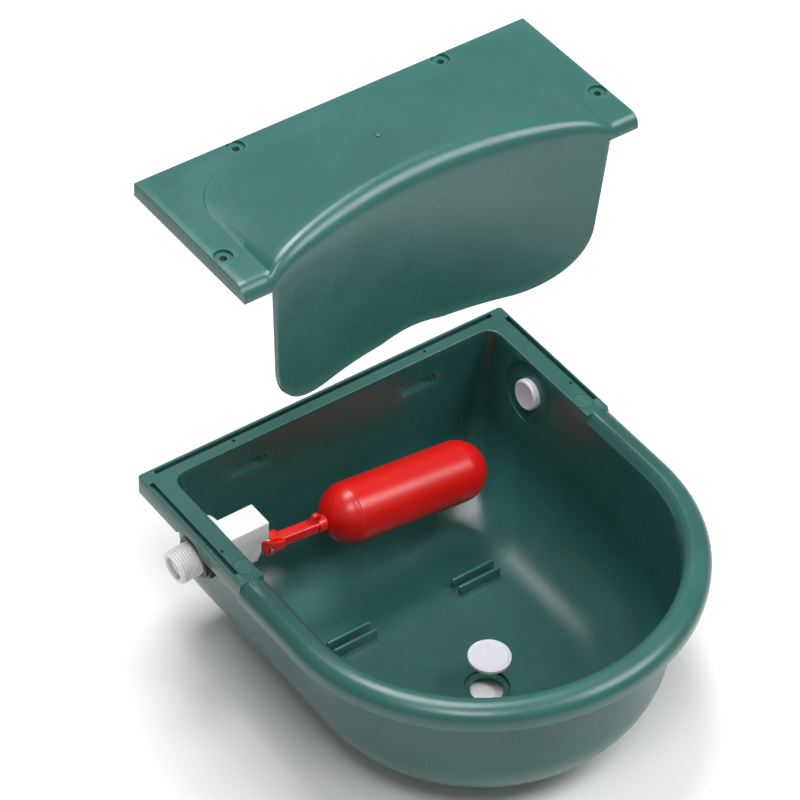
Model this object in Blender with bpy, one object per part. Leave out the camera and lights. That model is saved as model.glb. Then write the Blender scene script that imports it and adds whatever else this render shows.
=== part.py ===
"""Automatic float bowl for livestock: a D-shaped wall bowl with its float valve, lifted cover and plugs.

Frame: +X right along the back wall, +Y into the wall, +Z up.  The origin is on the symmetry plane, on
the back face of the bowl's flange, which lies against the wall (y = 0), 6.5 mm under the seat plane.
Lengths below are millimetres; MM turns them into metres where a mesh is made.
"""

import math

import bmesh
import bpy
from mathutils import Vector

MM = 0.001
GAP = 0.3                       # clearance between pieces that touch

# Bowl
SEAT_Z = 6.5                    # plane that the cover sits on
SEAT_HALF_IN = 114.5
SEAT_HALF_OUT = 130.0
SEAT_END_Y = 104.8              # the flat seat stops here, and the rounded rim begins
RIM_HALF_IN = 116.2
RIM_HALF_OUT = 131.4
RIM_STRAIGHT = 158.0            # the side walls run straight this far from the back
RIM_FRONT_IN = 264.8
RIM_FRONT_OUT = 281.0
BACK_IN = 12.0
WALL = 3.0
SIDE_DRAFT = 6.0
FILLET = 48.0                   # inside radius between walls and floor
BACK_FILLET = 45.0
FLOOR_Z = SEAT_Z - 105.5
BASE_Z = SEAT_Z - 114.0         # bottom of the foot
MID_HALF = 108.5                # inside half width and front at the top of the fillet
MID_FRONT = 264.0
FLANGE = 3.5
SKIRT = 12.8
SKIRT_WALL = 2.4
FOOT_HALF = 57.0
FOOT_WALL = 5.0

# Grooves, pilot holes and mounting slots
GROOVE_X = 127.0
GROOVE_Y = 3.5
GROOVE_WIDTH = 3.0
GROOVE_DEPTH = 3.2
SIDE_SCREW = (123.6, -77.0)
BACK_SCREW = (68.3, -7.0)
SLOT_X = 61.0
SLOT_Z = SEAT_Z - 19.5
SLOT_HALF = 12.8
SLOT_RADIUS = 4.4

# Side holes for the valve and the plug
PORT_Y = -53.0
PORT_Z = SEAT_Z - 22.0
PORT_X = SEAT_HALF_IN - (SEAT_Z - PORT_Z) * math.tan(math.radians(SIDE_DRAFT))
PORT_RADIUS = 10.9
PLUG_HOLE = 10.2
PAD_IN = -1.0                    # inner pad face, sunk into the wall
PAD_OUT = 0.6
PAD_RADIUS = 20.5
RELIEF_RADIUS = 17.0            # arch in the skirt above the lock nut

# Drain
DRAIN_Y = -168.5
DRAIN_RADIUS = 10.0
DRAIN_SINK = 13.4
DRAIN_SINK_DEPTH = 2.0
DRAIN_LIFT = 26.0

# Cover
COVER_LIFT = 210.2
COVER_HALF = 129.8
COVER_TOP = 9.2                 # top of the plate above the seat when it is fitted
COVER_BACK = 1.7
COVER_FRONT = 106.0
COVER_WALL = 2.5
COVER_Z = SEAT_Z + COVER_TOP + COVER_LIFT
APRON_HALF = 110.5
APRON_DROP = 112.2
APRON_CORNER = 45.5

# Float valve
PIVOT = Vector((-77.0, PORT_Y, SEAT_Z - 41.5))
DROOP = 7.0
FLOAT_RADIUS = 19.0
FLOAT_START = 41.5
FLOAT_END = 157.2
FLOAT_SEAM = 57.0


# ---------------------------------------------------------------- helpers

def clear_scene():
    for obj in list(bpy.data.objects):
        bpy.data.objects.remove(obj, do_unlink=True)


def material(name, color, roughness, metallic=0.0):
    mat = bpy.data.materials.new(name)
    mat.use_nodes = True
    shader = mat.node_tree.nodes["Principled BSDF"]
    shader.inputs["Base Color"].default_value = (*color, 1.0)
    shader.inputs["Roughness"].default_value = roughness
    shader.inputs["Metallic"].default_value = metallic
    return mat


def new_object(name, points, faces, mat=None):
    """Make an object from points in millimetres; faces are turned to point outwards."""
    mesh = bpy.data.meshes.new(name)
    mesh.from_pydata([(x * MM, y * MM, z * MM) for x, y, z in points], [], faces)
    bm = bmesh.new()
    bm.from_mesh(mesh)
    bmesh.ops.recalc_face_normals(bm, faces=bm.faces)
    bm.to_mesh(mesh)
    bm.free()
    mesh.shade_smooth()
    mesh.set_sharp_from_angle(angle=math.radians(35))
    obj = bpy.data.objects.new(name, mesh)
    bpy.context.collection.objects.link(obj)
    if mat:
        mesh.materials.append(mat)
    return obj


def tool(obj):
    """Mark an object as a boolean's second operand, which is left out of the model."""
    obj.hide_render = True
    obj.display_type = "WIRE"
    return obj


def combine(obj, other, operation):
    """Boolean with an operand that shares the object's parent, if it has one."""
    other.parent = obj.parent
    mod = obj.modifiers.new(other.name, "BOOLEAN")
    mod.operation = operation
    mod.solver = "EXACT"
    mod.object = tool(other)


def add(obj, other):
    combine(obj, other, "UNION")


def cut(obj, other):
    combine(obj, other, "DIFFERENCE")


def box(name, low, high, mat=None):
    points = [(x, y, z) for x in (low[0], high[0]) for y in (low[1], high[1]) for z in (low[2], high[2])]
    faces = [(0, 1, 3, 2), (4, 6, 7, 5), (0, 4, 5, 1), (2, 3, 7, 6), (0, 2, 6, 4), (1, 5, 7, 3)]
    return new_object(name, points, faces, mat)


def turned(name, profile, mat=None, segments=32, closed=False):
    """Turn a profile of (radius, height) about Z.  A closed profile makes a ring with a hole."""
    rings = profile if closed else profile[1:-1]
    points = []
    for radius, height in rings:
        for k in range(segments):
            turn = 2 * math.pi * k / segments
            points.append((radius * math.cos(turn), radius * math.sin(turn), height))
    faces = []
    count = len(rings)
    for i in range(count if closed else count - 1):
        for k in range(segments):
            a = i * segments + k
            b = i * segments + (k + 1) % segments
            j = (i + 1) % count
            faces.append((a, b, j * segments + (k + 1) % segments, j * segments + k))
    if not closed:
        for height, near, start in ((profile[0][1], rings[0][1], 0), (profile[-1][1], rings[-1][1], count - 1)):
            rim = [start * segments + k for k in range(segments)]
            if height == near:
                faces.append(tuple(rim))
                continue
            points.append((0, 0, height))
            faces += [(len(points) - 1, rim[k - 1], rim[k]) for k in range(segments)]
    return new_object(name, points, faces, mat)


def rod(name, radius, low, high, mat=None, segments=24):
    return turned(name, [(0, low), (radius, low), (radius, high), (0, high)], mat, segments)


def extruded(name, outline, low, high, mat=None):
    """Extrude an outline of (x, z) points from y = low to y = high."""
    count = len(outline)
    points = [(x, low, z) for x, z in outline] + [(x, high, z) for x, z in outline]
    faces = [tuple(range(count)), tuple(range(2 * count - 1, count - 1, -1))]
    faces += [(k, (k + 1) % count, count + (k + 1) % count, count + k) for k in range(count)]
    return new_object(name, points, faces, mat)


def arc(center, radius, start, end, steps):
    """Points on a circle's arc, with the angles in degrees."""
    points = []
    for k in range(steps + 1):
        turn = math.radians(start + (end - start) * k / steps)
        points.append((center[0] + radius * math.cos(turn), center[1] + radius * math.sin(turn)))
    return points


def place(obj, point, rotation=(0, 0, 0)):
    obj.location = Vector(point) * MM
    obj.rotation_euler = [math.radians(angle) for angle in rotation]
    return obj


def axis_frame(name, point, rotation=(0, 0, 0)):
    empty = bpy.data.objects.new(name, None)
    bpy.context.collection.objects.link(empty)
    return place(empty, point, rotation)


# ---------------------------------------------------------------- bowl

def fillet_offset(z, radius, floor):
    """How far the fillet above a floor at the given height pulls a wall in."""
    drop = max(0.0, floor + radius - z)
    return radius - math.sqrt(max(0.0, radius * radius - drop * drop))


def wall_sizes(z, skin):
    """Half width, front and back distance of the wall at a height; skin is 0 inside and WALL outside."""
    floor = FLOOR_Z - skin * 1.2
    radius = FILLET + skin
    mid = FLOOR_Z + FILLET
    rise = max(0.0, z - mid) / (SEAT_Z - mid)
    pull = fillet_offset(z, radius, floor)
    half = MID_HALF + (SEAT_HALF_IN - MID_HALF) * rise + skin - pull
    front = MID_FRONT + (RIM_FRONT_IN - MID_FRONT) * rise + skin - pull
    back_pull = fillet_offset(z, BACK_FILLET + skin, floor)
    back = BACK_IN + 0.03 * (SEAT_Z - z) - skin + back_pull
    corner = 9.0 + 0.4 * pull
    return half, front, back, corner


FRONT_STEPS = 14
CORNER_STEPS = 2
BACK_STATIONS = (0.0, 0.35, 0.7)
SIDE_STATIONS = (0.33, 0.67, 1.0)
FRONT_STATIONS = (SEAT_END_Y + 0.2, 130.0, RIM_STRAIGHT)


def d_outline(half, front, back, corner, rim_half=None):
    """Points of a D outline from the back's middle round the right side to the front's middle."""
    points = [((half - corner) * share, -back) for share in BACK_STATIONS]
    for x, y in arc((half - corner, -(back + corner)), corner, 90, 0, CORNER_STEPS):
        points.append((x, y))
    start = back + corner
    for share in SIDE_STATIONS:
        points.append((half, -(start + (SEAT_END_Y - 0.2 - start) * share)))
    wide = rim_half or half
    points += [(wide, -station) for station in FRONT_STATIONS]
    for k in range(1, FRONT_STEPS + 1):
        turn = math.pi / 2 * k / FRONT_STEPS
        points.append((wide * math.cos(turn), -RIM_STRAIGHT - (front - RIM_STRAIGHT) * math.sin(turn)))
    return points


def full_ring(half_points, heights):
    """Mirror a half outline to a closed ring of (x, y, z) points."""
    right = [(x, y, z) for (x, y), z in zip(half_points, heights)]
    left = [(-x, y, z) for x, y, z in right[1:-1]]
    return right + left[::-1]


def on_seat(index):
    """True for the outline points beside the flat seat, false for those of the rounded rim."""
    return index < len(BACK_STATIONS) + CORNER_STEPS + 1 + len(SIDE_STATIONS)


def crown_height(t):
    """Height of the rounded rim against the seat plane; t runs from its inner to its outer edge."""
    if t < 0.3:
        return -2.5 * (1 - t / 0.3) ** 2
    u = (t - 0.3) / 0.7
    return -8.0 * (1 - math.sqrt(max(0.0, 1 - u * u)))


def seat_height(t):
    return -0.6 if t in (0.0, 1.0) else 0.0


def rim_ring(t):
    half = SEAT_HALF_IN + t * (SEAT_HALF_OUT - SEAT_HALF_IN)
    rim_half = RIM_HALF_IN + t * (RIM_HALF_OUT - RIM_HALF_IN)
    front = RIM_FRONT_IN + t * (RIM_FRONT_OUT - RIM_FRONT_IN)
    outline = d_outline(half, front, BACK_IN * (1 - t), 9.0 - 7.0 * t, rim_half)
    heights = []
    for index in range(len(outline)):
        rise = seat_height(t) if on_seat(index) else crown_height(t)
        heights.append(SEAT_Z + rise)
    return full_ring(outline, heights)


def wall_ring(z, skin):
    outline = d_outline(*wall_sizes(z, skin))
    return full_ring(outline, [z] * len(outline))


def skirt_ring(inset, z):
    outline = d_outline(SEAT_HALF_OUT - inset, RIM_FRONT_OUT - inset, inset, 2.0 + inset * 0.2, RIM_HALF_OUT - inset)
    return full_ring(outline, [z] * len(outline))


def loft(name, rings, mat, close_ends=True):
    """Join equal rings in order; the first and the last are filled."""
    count = len(rings[0])
    points = [point for ring in rings for point in ring]
    faces = []
    for i in range(len(rings) - 1):
        for k in range(count):
            a = i * count + k
            b = i * count + (k + 1) % count
            faces.append((a, b, b + count, a + count))
    if close_ends:
        faces.append(tuple(range(count)))
        last = (len(rings) - 1) * count
        faces.append(tuple(range(last + count - 1, last - 1, -1)))
    else:
        for k in range(count):
            a = (len(rings) - 1) * count + k
            b = (len(rings) - 1) * count + (k + 1) % count
            faces.append((a, b, (k + 1) % count, k))
    return new_object(name, points, faces, mat)


def fillet_levels(radius, floor, steps):
    return [floor + radius * (1 - math.sin(math.pi / 2 * (1 - k / steps))) for k in range(steps + 1)]


def bowl_shell(mat):
    outside_floor = FLOOR_Z - WALL * 1.2
    rings = [wall_ring(z, WALL) for z in fillet_levels(FILLET + WALL, outside_floor, 5)]
    rings.append(wall_ring(SEAT_Z - FLANGE, WALL))
    rings.append(skirt_ring(SKIRT_WALL, SEAT_Z - FLANGE))
    rings.append(skirt_ring(SKIRT_WALL, SEAT_Z - SKIRT))
    rings.append(skirt_ring(0.0, SEAT_Z - SKIRT))
    rings += [rim_ring(t) for t in (1.0, 0.96, 0.85, 0.65, 0.3, 0.1, 0.0)]
    rings.append(wall_ring(SEAT_Z - 5.0, 0.0))
    rings += [wall_ring(z, 0.0) for z in reversed(fillet_levels(FILLET, FLOOR_Z, 5))]
    return loft("bowl", rings, mat)


def foot_ring():
    """The low D-shaped foot under the floor, which keeps the drain plug off the ground."""
    def ring(half, z):
        inset = FOOT_HALF - half
        outline = d_outline(half, 212.0 - inset, 66.0 + inset, 12.0)
        return full_ring(outline, [z] * len(outline))
    top = FLOOR_Z - 2.0
    inner = FOOT_HALF - FOOT_WALL
    rings = [ring(FOOT_HALF, BASE_Z), ring(FOOT_HALF, top), ring(inner, top), ring(inner, BASE_Z)]
    return loft("bowl_foot", rings, None, close_ends=False)


def slot_outline(grow):
    right = arc((SLOT_HALF - SLOT_RADIUS, 0), SLOT_RADIUS + grow, 90, -90, 8)
    left = [(-x, -z) for x, z in right]
    return right + left


def side_port(bowl, side, radius):
    """The round pad on both faces of a side wall, the hole through it, and the arch in the skirt."""
    center = (side * PORT_X, PORT_Y, PORT_Z)
    turn = (0, -side * (90 - SIDE_DRAFT), 0)
    name = "valve" if side < 0 else "plug"
    add(bowl, place(rod(f"{name}_pad", PAD_RADIUS + 1.5, -WALL - PAD_OUT, PAD_IN - 0.4, None, 32), center, turn))
    profile = [(0, 5), (PAD_RADIUS, 5), (PAD_RADIUS, PAD_IN), (radius, PAD_IN), (radius, -12), (0, -12)]
    cut(bowl, place(turned(f"{name}_hole", profile, None, 32), center, turn))
    middle = (side * (RIM_HALF_OUT - 2), PORT_Y, PORT_Z - 1.5)
    cut(bowl, place(rod(f"{name}_relief", RELIEF_RADIUS, -8, 8, None, 28), middle, (0, 90, 0)))


def build_bowl(mat):
    bowl = bowl_shell(mat)
    add(bowl, foot_ring())
    for side in (-1, 1):
        boss = extruded(f"slot_boss_{side}", slot_outline(4.0), -10.5, 0.0)
        add(bowl, place(boss, (side * SLOT_X, 0, SLOT_Z)))
        rib_low = (side * 92.0 - 2.0, -11.5, SEAT_Z - 50.0)
        rib_high = (side * 92.0 + 2.0, 0.0, SEAT_Z - 4.0)
        add(bowl, box(f"back_rib_{side}", rib_low, rib_high))
        for row, y in enumerate((-93.7, -100.6)):
            low = (side * 45.3 - 15.2, y - 0.9, FLOOR_Z - 1.0)
            high = (side * 45.3 + 15.2, y + 0.9, FLOOR_Z + 7.0)
            add(bowl, box(f"floor_rib_{side}_{row}", low, high))
    side_port(bowl, -1, PORT_RADIUS)
    side_port(bowl, 1, PLUG_HOLE)
    for side in (-1, 1):
        slot = extruded(f"slot_{side}", slot_outline(0.0), -25.0, 5.0)
        cut(bowl, place(slot, (side * SLOT_X, 0, SLOT_Z)))
        low = (side * GROOVE_X - GROOVE_WIDTH / 2, -96.0, SEAT_Z - GROOVE_DEPTH)
        high = (side * GROOVE_X + GROOVE_WIDTH / 2, -10.0, SEAT_Z + 2.0)
        cut(bowl, box(f"side_groove_{side}", low, high))
        for tag, (x, y) in (("side", SIDE_SCREW), ("back", BACK_SCREW)):
            pilot = rod(f"{tag}_pilot_{side}", 1.5, -4.0, 2.0, None, 3)
            cut(bowl, place(pilot, (side * x, y, SEAT_Z), (0, 0, 90)))
    low = (-120.5, -GROOVE_Y - GROOVE_WIDTH / 2, SEAT_Z - GROOVE_DEPTH)
    high = (120.5, -GROOVE_Y + GROOVE_WIDTH / 2, SEAT_Z + 2.0)
    cut(bowl, box("back_groove", low, high))
    sink = rod("drain_sink", DRAIN_SINK, FLOOR_Z - DRAIN_SINK_DEPTH, FLOOR_Z + 5.0)
    cut(bowl, place(sink, (0, DRAIN_Y, 0)))
    cut(bowl, place(rod("drain_hole", DRAIN_RADIUS, FLOOR_Z - 20.0, FLOOR_Z + 10.0), (0, DRAIN_Y, 0)))
    return bowl


# ---------------------------------------------------------------- cover

def crease_y(x):
    """Distance from the back of the raised panel's rear edge, with its rounded corners."""
    over = max(0.0, abs(x) - 78.0) / 34.0
    return 17.5 + 34.0 * (1 - math.sqrt(max(0.0, 1 - min(1.0, over) ** 2)))


def panel_rise(x):
    u = min(1.0, abs(x) / 112.0)
    return 5.0 * (1 - u ** 12) + 10.0 * (1 - u ** 2)


def apron_y(x, depth):
    """Distance of the apron's front face from the back; the middle is hollowed back, more at the bottom."""
    u = min(1.0, abs(x) / APRON_HALF)
    top = 92.0 + (COVER_FRONT - 92.0) * u * u
    bottom = 80.0 + (COVER_FRONT - 80.0) * u * u
    return top + (bottom - top) * min(1.0, max(0.0, depth) / APRON_DROP)


def front_radius(x):
    u = min(1.0, abs(x) / APRON_HALF)
    return 12.0 - 4.0 * u * u


def apron_foot(u):
    """Bottom point (x, depth) of the apron's column u, from -1 at the left edge to 1 at the right."""
    straight = 61.0
    split = straight / APRON_HALF
    side = abs(u)
    if side <= split:
        x = straight * side / split
        arch = 3.0 * math.cos(math.pi * x / 42.0) if x < 21.0 else 0.0
        return math.copysign(x, u), APRON_DROP - arch
    turn = math.radians(84.0) * (side - split) / (1 - split)
    x = straight + APRON_CORNER * math.sin(turn)
    return math.copysign(x, u), APRON_DROP - APRON_CORNER * (1 - math.cos(turn))


def cover_column(x, on_apron):
    """Points down one column of the cover's top sheet, from the back edge to the front lip or apron foot."""
    rise = panel_rise(x) if on_apron else 0.0
    start = crease_y(x)
    radius = front_radius(x)
    end = apron_y(x, 0.0) - radius
    points = [(x, -COVER_BACK, 0.0), (x, -(COVER_BACK + start) / 2, 0.0), (x, -start, 0.0)]
    for k in range(1, 5):
        t = k / 4
        points.append((x, -(start + (end - start) * t), rise * (0.5 * t + 0.5 * t * t)))
    for k in range(1, 5):
        turn = math.pi / 2 * k / 4
        points.append((x, -(end + radius * math.sin(turn)), rise - radius * (1 - math.cos(turn))))
    points.append((x, -apron_y(x, COVER_TOP), -COVER_TOP))
    return points


def apron_tail(u):
    x_top = u * APRON_HALF
    x_foot, depth_foot = apron_foot(u)
    points = []
    for k in range(1, 5):
        t = k / 4
        depth = COVER_TOP + (depth_foot - COVER_TOP) * t
        x = x_top + (x_foot - x_top) * t
        points.append((x, -apron_y(x, depth), -depth))
    return points


def cover_sheet(mat):
    """The plate, raised panel, rolled front and apron as one sheet, thickened inwards."""
    ears = (COVER_HALF, 124.0, 117.0)
    steps = 22
    columns = [cover_column(-x, False) for x in ears]
    for k in range(steps + 1):
        u = -1 + 2 * k / steps
        columns.append(cover_column(u * APRON_HALF, True) + apron_tail(u))
    columns += [cover_column(x, False) for x in reversed(ears)]
    starts = []
    points = []
    for column in columns:
        starts.append(len(points))
        points += column
    faces = []
    for left, right, a, b in zip(columns, columns[1:], starts, starts[1:]):
        for row in range(min(len(left), len(right)) - 1):
            faces.append((a + row, a + row + 1, b + row + 1, b + row))
    cover = new_object("cover", points, faces, mat)
    mesh = cover.data
    if mesh.polygons[0].normal.z < 0:
        mesh.flip_normals()
    solid = cover.modifiers.new("thickness", "SOLIDIFY")
    solid.thickness = COVER_WALL * MM
    solid.offset = -1.0
    solid.use_even_offset = True
    return cover


def skirt_piece(name, low, high, cover):
    add(cover, box(name, low, high))


def build_cover(mat):
    """The cover stands lifted straight above its seat; its origin is the plate's top plane."""
    cover = cover_sheet(mat)
    cover.location = (0, 0, COVER_Z * MM)
    top = COVER_Z - 1.0
    bottom = COVER_Z - COVER_TOP
    tongue = bottom - 2.8
    inner = COVER_HALF - 4.0
    for side in (-1, 1):
        xs = sorted((side * inner, side * COVER_HALF))
        skirt_piece(f"cover_side_{side}", (xs[0], -99.0, bottom), (xs[1], -COVER_BACK, top), cover)
        xs = sorted((side * (GROOVE_X - 1.1), side * (GROOVE_X + 1.1)))
        skirt_piece(f"cover_tongue_{side}", (xs[0], -95.0, tongue), (xs[1], -11.0, bottom + 1), cover)
        for tag, (x, y) in (("side", SIDE_SCREW), ("back", BACK_SCREW)):
            boss = rod(f"cover_{tag}_boss_{side}", 5.0, 0.4 - COVER_TOP, -1.0, None, 16)
            add(cover, place(boss, (side * x, y, COVER_Z)))
    inner = 126.0
    skirt_piece("cover_back", (-inner, -COVER_BACK - 4.0, bottom), (inner, -COVER_BACK, top), cover)
    low = (-119.0, -GROOVE_Y - 1.1, tongue)
    skirt_piece("cover_back_tongue", low, (119.0, -GROOVE_Y + 1.1, bottom + 1), cover)
    for side in (-1, 1):
        for tag, (x, y) in (("side", SIDE_SCREW), ("back", BACK_SCREW)):
            point = (side * x, y, COVER_Z)
            profile = [(0, 3.0), (5.2, 3.0), (5.2, -1.6), (2.2, -1.6), (2.2, -15.0), (0, -15.0)]
            cut(cover, place(turned(f"cover_{tag}_hole_{side}", profile, None, 16), point, (0, 0, 4 - side)))
    return cover


# ---------------------------------------------------------------- plugs

def build_drain_plug(mat):
    """A soft push-in plug, lifted above its hole; the origin is on its axis, at the floor's plane."""
    profile = [(0, -6.8), (8.2, -6.8), (8.8, -6.2), (9.5, -2.1), (12.2, -2.1), (12.8, -1.5), (12.8, 0.4),
               (12.3, 0.9), (11.7, 0.5), (6.0, -0.3), (0, -0.9)]
    plug = turned("drain_plug", profile, mat, 24)
    return place(plug, (0, DRAIN_Y, FLOOR_Z + DRAIN_LIFT))


def build_side_plug(mat):
    """The blanking plug in the spare side hole, pushed in from outside."""
    outside = -WALL - PAD_OUT - GAP
    tip = PAD_IN + 4.2
    profile = [(0, outside - 3.0), (12.4, outside - 3.0), (13.2, outside - 2.2), (13.2, outside), (9.8, outside)]
    profile += [(9.8, tip - 1.4), (9.4, tip - 0.5), (8.5, tip), (7.2, tip - 0.2), (0, tip - 0.6)]
    plug = turned("side_plug", profile, mat, 24)
    return place(plug, (PORT_X, PORT_Y, PORT_Z), (0, -(90 - SIDE_DRAFT), 0))


# ---------------------------------------------------------------- float valve

THREAD_PITCH = 1.814
THREAD_TOP = 10.45
THREAD_ROOT = 9.35
NIPPLE_END = -28.8
NIPPLE_BORE = 7.0
FLANGE_FACE = PAD_IN + 2.6
HOOD_TOP = SEAT_Z - 13.5


def nipple_profile():
    """Outer profile of the threaded nipple and its flange, about the port's axis, heights going inwards."""
    points = [(0, NIPPLE_END), (THREAD_ROOT - 0.4, NIPPLE_END), (THREAD_ROOT, NIPPLE_END + 0.5)]
    height = NIPPLE_END + 1.0
    while height < -8.0:
        points.append((THREAD_TOP, height + 0.5))
        points.append((THREAD_ROOT, height + 1.4))
        height += THREAD_PITCH
    points += [(THREAD_TOP, height + 0.3), (THREAD_TOP, FLANGE_FACE), (17.5, FLANGE_FACE)]
    points += [(17.5, FLANGE_FACE + 2.6), (0, FLANGE_FACE + 2.6)]
    return points


def port_frame():
    return ((-PORT_X, PORT_Y, PORT_Z), (0, 90 - SIDE_DRAFT, 0))


def build_valve_body(mat):
    point, turn = port_frame()
    body = place(turned("valve_body", nipple_profile(), mat, 22), point, turn)
    side = 9.0
    hood = [(-108.5, HOOD_TOP - 26.5), (-88.5, HOOD_TOP - 27.5), (-86.0, HOOD_TOP - 21.0)]
    hood += [(-86.0, HOOD_TOP - 14.0), (-81.0, HOOD_TOP - 14.0), (-81.0, HOOD_TOP - 0.8)]
    hood += [(-81.8, HOOD_TOP), (-108.5, HOOD_TOP)]
    add(body, extruded("valve_hood", hood, PORT_Y - side, PORT_Y + side))
    cavity = [(-104.6, HOOD_TOP - 40.5), (-88.0, HOOD_TOP - 40.5), (-83.6, HOOD_TOP - 20.5)]
    cavity += [(-83.6, HOOD_TOP - 2.6), (-104.6, HOOD_TOP - 2.6)]
    cut(body, extruded("valve_cavity", cavity, PORT_Y - 6.6, PORT_Y + 6.6))
    lug = [(-106.5, PIVOT.z + 7.0), (-106.5, PIVOT.z - 5.5), (PIVOT.x, PIVOT.z - 4.2)]
    lug += arc((PIVOT.x, PIVOT.z), 4.2, -70, 90, 8) + [(-84.0, PIVOT.z + 7.0)]
    add(body, extruded("valve_lug", lug, PORT_Y - 2.4, PORT_Y + 2.4))
    pin_hole = place(rod("valve_pin_hole", 1.85, -10, 10, None, 20), PIVOT, (90, 0, 0))
    cut(body, pin_hole)
    cut(body, place(rod("valve_bore", NIPPLE_BORE, NIPPLE_END - 5, -6.0), point, turn))
    cut(body, place(rod("valve_seat_bore", 3.9, -8.0, 12.0, None, 24), point, turn))
    return body


def build_seat_nozzle(mat):
    """The jet that the seal closes, pressed into the valve body from the inlet side."""
    point, turn = port_frame()
    profile = [(1.3, -9.3), (5.6, -9.3), (5.6, -7.6), (3.6, -7.6), (3.6, 8.7), (2.6, 10.4), (1.3, 10.4)]
    return place(turned("seat_nozzle", profile, mat, 24, closed=True), point, turn)


def build_inlet_strainer(mat):
    """A cup-shaped strainer in the mouth of the nipple, open towards the valve."""
    point, turn = port_frame()
    profile = [(0, -26.5), (5.8, -26.5), (6.7, -25.6), (6.7, -15.0), (5.2, -15.0), (5.2, -25.0), (0, -25.0)]
    return place(turned("inlet_strainer", profile, mat, 24), point, turn)


def build_ring(name, inner, outer, low, high, mat, segments=24):
    point, turn = port_frame()
    profile = [(inner, low), (outer, low), (outer, high), (inner, high)]
    return place(turned(name, profile, mat, segments, closed=True), point, turn)


def build_lock_nut(mat):
    """Six-sided nut with a round collar, outside the wall."""
    point, turn = port_frame()
    inner = -(WALL + PAD_OUT + 2.5 + 2 * GAP)
    outer = inner - 8.5
    nut = turned("lock_nut", [(10.8, outer), (13.2, outer), (13.2, inner), (10.8, inner)], mat, 24, closed=True)
    section = [(12.8, outer + 2.0), (15.7, outer + 2.0), (15.7, inner - 0.4), (12.8, inner - 0.4)]
    hexagon = turned("nut_hexagon", section, None, 6, closed=True)
    add(nut, place(hexagon, point, turn))
    return place(nut, point, turn)


def build_valve_moving(mats):
    """Plunger and seal, pivot pin, lever and float."""
    x_face = -88.8
    low = (x_face - 6.0, PORT_Y - 6.0, PORT_Z - 2.5)
    high = (x_face, PORT_Y + 6.0, PORT_Z + 5.2)
    box("plunger", low, high, mats["white"])
    seal = rod("plunger_seal", 3.4, x_face - 7.9, x_face - 6.3, mats["rubber"], 24)
    place(seal, (0, PORT_Y, PORT_Z + 1.3), (0, 90, 0))

    pin = [(0, -7.6), (2.6, -7.6), (2.6, -6.3), (1.5, -6.3), (1.5, 6.6), (1.2, 6.9), (0, 6.9)]
    place(turned("pivot_pin", pin, mats["steel"], 24), PIVOT, (90, 0, 0))

    frame = axis_frame("lever_axis", PIVOT, (0, DROOP, 0))
    build_lever(mats["red"], frame)
    for obj in build_float(mats["red"]):
        obj.parent = frame


def build_lever(mat, frame):
    """Lever arm about its pivot, +X towards the float: fork, heel bar that pushes the plunger, and arm."""
    section = [(5.4, -3.8), (39.0, -3.8), (39.0, 3.8), (7.4, 3.8)]
    arm = extruded("lever_arm", section, -4.0, 4.0, mat)
    arm.parent = frame
    bevel = arm.modifiers.new("round", "BEVEL")
    bevel.width = 1.5 * MM
    bevel.segments = 2
    for side in (-1, 1):
        near, far = sorted((side * 3.0, side * 5.9))
        cheek = arc((0, 0), 4.2, 200, 330, 6) + [(9.5, -3.2), (9.5, 3.4), (3.0, 4.0), (-8.4, 9.0)]
        cheek += [(-10.9, 20.4), (-13.8, 20.4), (-12.6, 9.0)]
        add(arm, extruded(f"lever_cheek_{side}", cheek, near, far))
    web = [(1.2, 4.8), (5.6, 2.0), (9.0, 2.0), (9.0, 3.7), (3.2, 5.5), (1.2, 5.7)]
    add(arm, extruded("lever_web", web, -3.2, 3.2))
    heel = rod("lever_heel", 1.7, -5.8, 5.8, None, 16)
    add(arm, place(heel, (-12.0, 0, 18.6), (90, 0, 0)))
    end = FLOAT_START - GAP
    profile = [(0, 35.4), (5.2, 35.4), (5.2, end), (3.0, end), (3.0, end + 8.0), (0, end + 8.0)]
    collar = turned("lever_collar", profile, None, 22)
    eye = [(27.5, 3.0), (31.5, 6.2)] + arc((34.5, 5.8), 3.2, 140, -20, 8) + [(38.0, 3.0)]
    add(arm, extruded("lever_eye", eye, -1.5, 1.5))
    cut(arm, place(rod("lever_pin_hole", 1.85, -12, 12, None, 20), (0, 0, 0), (90, 0, 0)))
    cut(arm, place(rod("lever_eye_hole", 1.3, -6, 6, None, 12), (34.5, 0, 6.0), (90, 0, 0)))
    add(arm, place(collar, (0, 0, 0), (0, 90, 0)))
    return arm


def dome_points(start, radius, steps, inwards):
    """Profile (radius, height) of the float's rounded end at the given height."""
    sign = 1 if inwards else -1
    base = start + sign * radius
    return [(radius * math.sin(a), base - sign * radius * math.cos(a))
            for a in [math.pi / 2 * k / steps for k in range(steps + 1)]]


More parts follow.
